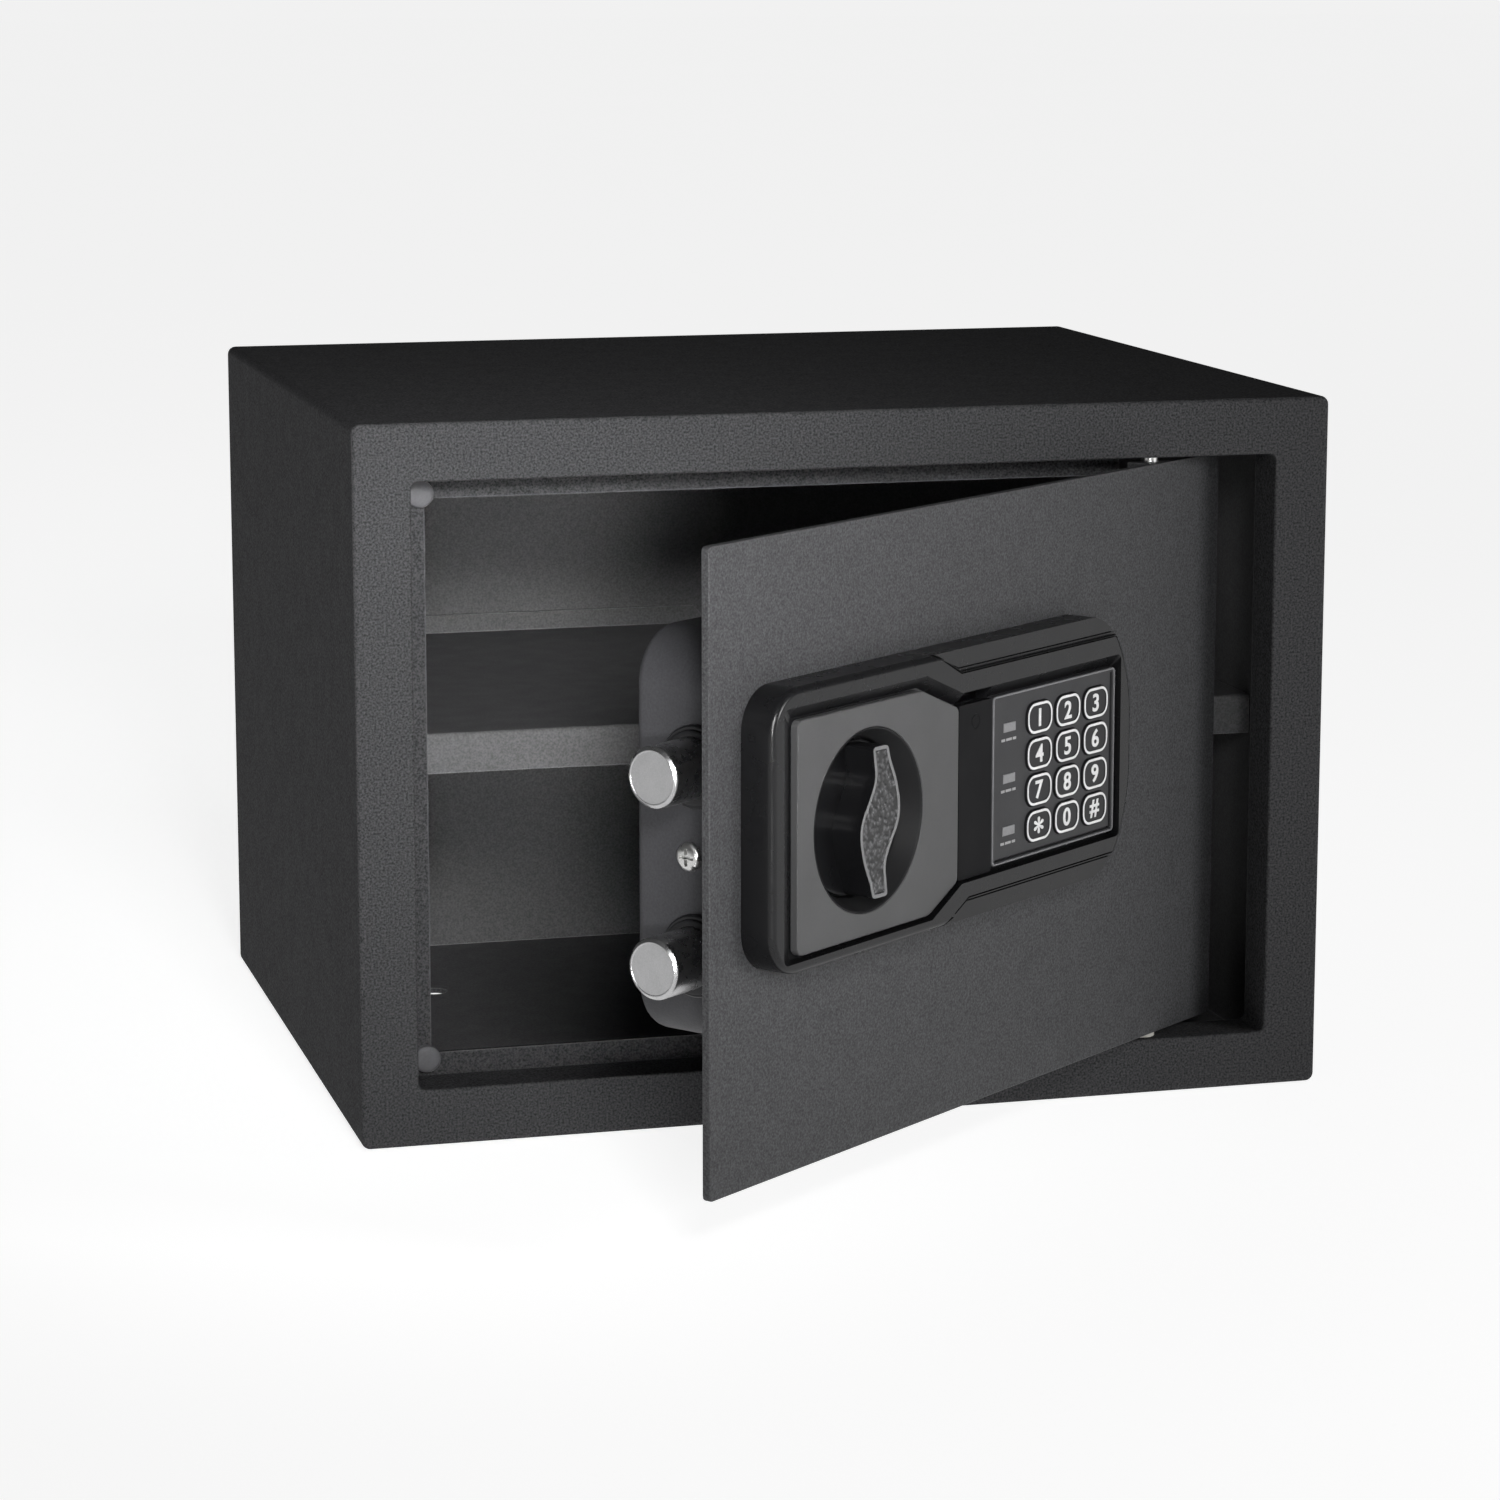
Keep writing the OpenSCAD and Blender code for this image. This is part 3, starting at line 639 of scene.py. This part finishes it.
def make_knob_plate():
    """Satin plate with cut corners on the keypad's side."""
    outline = [(30.8, 74), (103, 74), (119.6, 82.4), (119.6, 140.4), (98.5, 149), (30.8, 149)]
    face = plate("knob_surround", outline, -8, -11,
                 [(lambda x, z: x < 31, 2.6, 4), (lambda x, z: x > 90, 1.6, 3)])
    combine(face, door_rod("knob_hole", KNOB, -14, 1, 30, 96))
    soften(face, 0.45, 3)
    finished(face, "door", [plate_grey], ["knob_plate"])


def make_dial_ring():
    """Conical wall of the knob's recess."""
    ring = [(0, 30), (0, 26), (-3.9, 26), (-4.2, 26.2),
            (-10.4, 29.1), (-10.7, 29.4), (-10.9, 29.7), (-10.7, 30)]
    cone = turned("knob_recess_ring", ring, (KNOB[0], 0, KNOB[1]), (0, 1, 0), 96, closed=True)
    finished(cone, "door", [ring_grey], ["dial_bezel"])


def make_knob():
    """Turning dial with a tall S-shaped grip bar: smooth rim, pebbled face."""
    disc = turned("dial_disc", [(-1.5, 0), (-1.5, 25.2), (-3.3, 25.2), (-3.8, 25), (-4, 24.5), (-4, 0)],
                  (KNOB[0], 0, KNOB[1]), (0, 1, 0), 96)
    finished(disc, "knob", [dial_black], ["knob_dial"])
    half = [(-4.2, 24.6), (4.2, 24.4), (5.2, 20), (9, 12.5), (11, 5), (10.6, -1), (5.6, -8.5), (2.6, -14)]
    outline = [(KNOB[0] + x, KNOB[1] + z) for x, z in half + [(-x, -z) for x, z in half]]
    bar = plate("grip_bar", outline, -4, -14.6, [(lambda x, z: abs(z - KNOB[1]) > 22, 1.4, 3),
                                                 (lambda x, z: abs(z - KNOB[1]) < 21, 2.6, 3)])
    for finish in (grip_side, grip_edge, grip_grain):
        bar.data.materials.append(finish)
    enter(bar, "FACE")
    pick("FACE", lambda p, n: n.y < -0.9)
    bar.active_material_index = 1
    bpy.ops.object.material_slot_assign()
    bpy.ops.mesh.extrude_region_move(TRANSFORM_OT_translate={"value": (0, -0.6 * MM, 0)})
    bpy.ops.mesh.inset(thickness=0.45 * MM, depth=0)
    bpy.ops.mesh.inset(thickness=0.75 * MM, depth=0)
    bar.active_material_index = 2
    bpy.ops.object.material_slot_assign()
    bpy.ops.mesh.inset(thickness=0.2 * MM, depth=-0.3 * MM)
    for height in range(92, 134, 4):
        pick("FACE", lambda p, n: n.y < -0.99 and p.y > -15)
        bpy.ops.mesh.bisect(plane_co=(0, 0, height * MM), plane_no=(0, 0, 1))
    leave()
    finished(bar, "knob", [], ["knob_grip"], smooth=32)


def key_place(column, row):
    """Middle of a key, counted from the lower left one."""
    return FIRST_KEY[0] + KEY_PITCH[0] * column, FIRST_KEY[1] + KEY_PITCH[1] * row


def make_keypad():
    """Key plate with a raised pale border, twelve key openings and three light windows."""
    panel = plate("keypad_plate", [(140, 83.5), (215.5, 83.5), (215.5, 141), (140, 141)], -8, -10.4,
                  [(lambda x, z: True, 1.5, 4)])
    holes = []
    for column in range(3):
        for row in range(4):
            u, v = key_place(column, row)
            holes.append(plate("key_hole", [(u - 7.95, v - 5.7), (u + 7.95, v - 5.7), (u + 7.95, v + 5.7),
                                            (u - 7.95, v + 5.7)], -5, -14, [(lambda x, z: True, 4.7, 6)]))
    combine(panel, joined(holes))
    for v in WINDOW_HEIGHTS:
        combine(panel, block("window_hole", (146.7, -14, v - 1.6), (153.9, 1, v + 1.6)))
    for low, high in (((212.6, -14, 85.4), (213.9, -8.8, 139.4)), ((142, -14, 84.6), (213.9, -8.8, 85.6))):
        combine(panel, block("groove", low, high))
    soften(panel, 0.2, 2)
    finished(panel, "door", [pad_grey], ["keypad_panel"])
    border = plate("keypad_border", [(140.2, 83.7), (215.3, 83.7), (215.3, 140.8), (140.2, 140.8)],
                   -10.2, -10.8, [(lambda x, z: True, 1.4, 4)])
    combine(border, plate("inside", [(140.8, 84.3), (214.6, 84.3), (214.6, 140.2), (140.8, 140.2)], -9, -12,
                          [(lambda x, z: True, 1.0, 4)]))
    soften(border, 0.12, 2)
    finished(border, "door", [border_grey])
    for v in WINDOW_HEIGHTS:
        dashes = [block("label_dashes", (u, -10.5, v - 4.6), (u + w, -10.35, v - 3.7))
                  for u, w in ((145.6, 2.2), (148.4, 3.4), (152.4, 2.0))]
        marks = joined(dashes)
        marks.name = f"label_dashes_{round(v)}"
        soften(marks, 0.1, 1)
        finished(marks, "door", [pale_ink])


def make_keys():
    """One key cap with a raised white outline, copied to each place with its own figure."""
    cap = plate("key_cap", [(-7.6, -5.35), (7.6, -5.35), (7.6, 5.35), (-7.6, 5.35)], -7.2, -10.7,
                [(lambda x, z: True, 4.4, 8)])
    cap.data.materials.append(key_grey)
    cap.data.materials.append(white_ink)
    enter(cap, "FACE")
    pick("FACE", lambda p, n: n.y < -0.9)
    bpy.ops.mesh.extrude_region_move(TRANSFORM_OT_translate={"value": (0, -0.4 * MM, 0)})
    bpy.ops.mesh.inset(thickness=0.18 * MM, depth=0.12 * MM)
    cap.active_material_index = 1
    bpy.ops.object.material_slot_assign()
    bpy.ops.mesh.inset(thickness=0.85 * MM, depth=0)
    cap.active_material_index = 0
    bpy.ops.object.material_slot_assign()
    bpy.ops.mesh.inset(thickness=0.1 * MM, depth=-0.25 * MM)
    leave()
    rows = (("star", "0", "hash"), ("7", "8", "9"), ("4", "5", "6"), ("1", "2", "3"))
    figures = {"star": "*", "hash": "#"}
    for row, keys in enumerate(rows):
        for column, key in enumerate(keys):
            u, v = key_place(column, row)
            figure = figures.get(key, key)
            key_piece = copied(cap, "figure_key_" + key, (u, 0, v))
            deselect()
            bpy.ops.object.text_add(rotation=(math.pi / 2, 0, 0))
            text = bpy.context.object
            text.data.body = figure
            text.data.align_x = "CENTER"
            text.data.size = (12 if key == "star" else 8.4) * MM
            text.data.offset = 0.16 * MM
            text.data.extrude = 0.1 * MM
            bpy.ops.object.convert(target="MESH")
            text = bpy.context.object
            enter(text)
            outwards()
            leave()
            low = min(p.co.y for p in text.data.vertices)
            high = max(p.co.y for p in text.data.vertices)
            left = min(p.co.x for p in text.data.vertices)
            right = max(p.co.x for p in text.data.vertices)
            text.scale = (1.12, 1, 1)
            text.location = (u * MM - 1.12 * (left + right) / 2, -11.05 * MM, v * MM - (low + high) / 2)
            bpy.ops.object.transform_apply(location=True, rotation=True, scale=True)
            text.data.materials.clear()
            text.data.materials.append(white_ink)
            piece = joined([key_piece, text])
            finished(piece, f"key_{key}_body", [], [f"key_{key}"], smooth=40)
    bpy.data.objects.remove(cap)


def make_key_cover():
    """Removable strip over the emergency lock with a small pressed thumb mark."""
    strip = plate("override_cover_strip", [(120.2, 82.3), (139.4, 82.3), (139.4, 140.8), (120.2, 140.8)],
                  -8.05, -10.7, [(lambda x, z: True, 0.8, 3)])
    mark = turned("thumb_mark", [(-10.5, 2.0), (-10.5, 2.5), (-11.5, 2.6), (-11.5, 1.9)],
                  (BARREL[0], 0, 134.5), (0, 1, 0), 40, closed=True)
    combine(strip, mark)
    soften(strip, 0.3, 2)
    finished(strip, "key_cover_body", [strip_black], ["key_cover"])


make_case()
make_buffers()
make_shelf()
make_door()
make_lock_cover()
make_bolts()
make_collars()
make_cover_screws()
make_lock_moulding()
make_knob_plate()
make_dial_ring()
make_knob()
make_keypad()
make_keys()
make_key_cover()

# ---------------------------------------------------------------- finishes of the carried-over nodes
NODE_FINISH = {
    "back_panel": painted_light_inside_paint, "door_stop": case_paint, "shelf_brackets": painted_light_inside_paint,
    "hinge_bearings": zinc, "thrust_washer": nylon, "hinge_blocks": door_paint, "hinge_pins": zinc,
    "indicator_lenses": lens_clear, "key_board": board_green, "cover_brackets": zinc,
    "guide_studs": zinc, "override_body": brass, "battery_tray": tray_black, "batteries": cell_wrap,
    "solenoid_body": coil_wrap, "knob_spindle": zinc, "bolt_carriage": zinc, "solenoid_plunger": zinc,
    "override_plug": brass, "battery_lid": tray_black,
}
for node, finish in NODE_FINISH.items():
    data = frame["nodes"][node].data
    data.materials.clear()
    data.materials.append(finish)


# ---------------------------------------------------------------- floor, light and camera
def make_floor():
    deselect()
    bpy.ops.mesh.primitive_grid_add(x_subdivisions=8, y_subdivisions=8, size=30, location=(0, 5, -0.0005))
    floor = named("pale_floor")
    f = Finish("floor_white")
    f.colour(f.ramp(f.noise(900, 2), (0.44, 0.44, 0.44), (0.46, 0.46, 0.46)))
    f.set(roughness=0.9, specular_ior_level=0.0, emission_strength=0.84)
    f.shader.inputs["Emission Color"].default_value = (1, 1, 1, 1)
    floor.data.materials.append(f.made)


def softbox(name, place, aim, size, power, spread=180):
    """A soft area lamp; a small spread, in degrees, is a softbox with a grid."""
    deselect()
    turn = (Vector(aim) - Vector(place)).to_track_quat("-Z", "Y").to_euler()
    bpy.ops.object.light_add(type="AREA", location=place, rotation=turn)
    lamp = bpy.context.object
    lamp.name = name
    lamp.data.shape = "RECTANGLE"
    lamp.data.size, lamp.data.size_y = size
    lamp.data.energy = power
    lamp.data.spread = math.radians(spread)


def make_room():
    world = bpy.data.worlds.new("studio_white")
    bpy.context.scene.world = world
    world.use_nodes = True
    nodes, links = world.node_tree.nodes, world.node_tree.links
    seen = nodes["Background"]
    seen.inputs["Color"].default_value = (1, 1, 1, 1)
    seen.inputs["Strength"].default_value = 0.88
    dim = nodes.new("ShaderNodeBackground")
    dim.inputs["Strength"].default_value = 0.1
    path = nodes.new("ShaderNodeLightPath")
    mix = nodes.new("ShaderNodeMixShader")
    links.new(path.outputs["Is Camera Ray"], mix.inputs["Fac"])
    links.new(dim.outputs[0], mix.inputs[1])
    links.new(seen.outputs[0], mix.inputs[2])
    links.new(mix.outputs[0], nodes["World Output"].inputs["Surface"])


def make_camera():
    deselect()
    bpy.ops.object.camera_add(location=(-0.4144, -1.5411, 0.4101),
                              rotation=(math.radians(80.115), 0, math.radians(-15.083)))
    camera = bpy.context.object
    camera.name = "front_left_view"
    camera.data.sensor_width = 36
    camera.data.lens = 102.39
    camera.data.shift_y = -0.0467
    bpy.context.scene.camera = camera


bpy.context.scene.view_settings.view_transform = "Standard"
make_floor()
make_room()
softbox("right_key", (1.25, -1.15, 0.5), (0.05, -0.2, 0.15), (0.5, 0.4), 12.5)
softbox("high_front", (-0.18, -1.0, 0.5), (-0.16, -0.15, 0.27), (0.2, 0.15), 0.85, 45)
softbox("inside_fill", (-0.4, -1.7, 0.27), (-0.06, 0.1, 0.14), (0.2, 0.15), 0.18, 16)
make_camera()
